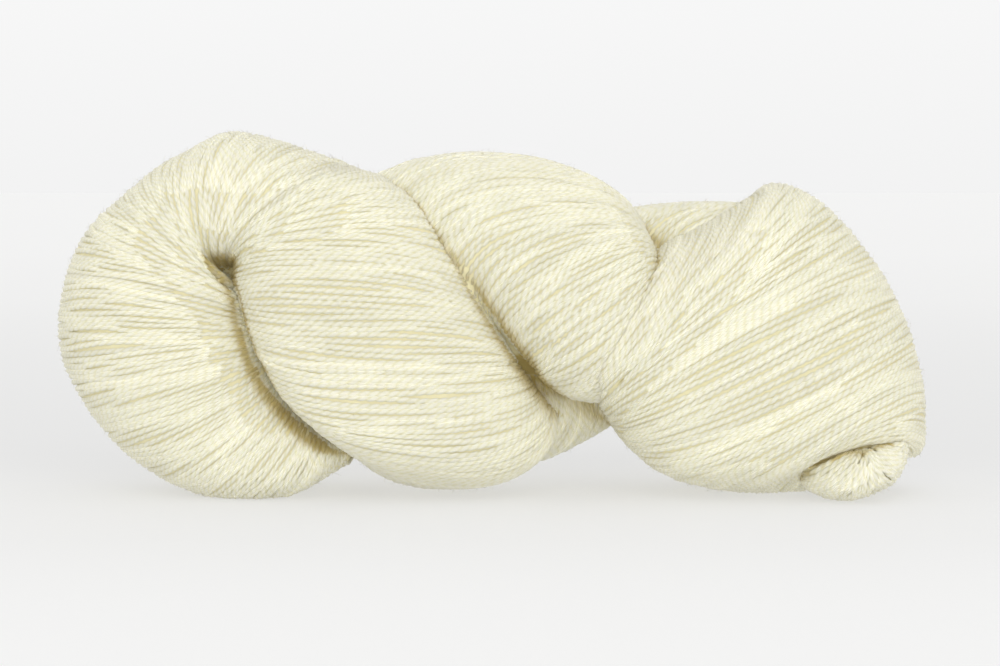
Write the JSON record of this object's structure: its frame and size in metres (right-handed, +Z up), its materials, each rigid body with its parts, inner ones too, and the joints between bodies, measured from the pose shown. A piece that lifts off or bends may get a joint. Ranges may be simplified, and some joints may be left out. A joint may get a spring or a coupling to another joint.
{
  "type": "wool yarn hank",
  "caption": "Hank of cream two-ply wool yarn, twisted into a rope, folded on itself and tucked through its own end loop, lying on its side.",
  "frame": {"origin": "on the surface that the hank lies on, under the middle of its box", "axes": "+X along the hank from its left fold to its end loop, +Z up, and the open front, where the strand crosses, looks towards -Y"},
  "size_m": [0.2194, 0.0801, 0.0915],
  "materials": {
    "yarn": "matte"
  },
  "bodies": {
    "root": {"hank": "yarn"}
  },
  "joints": []
}
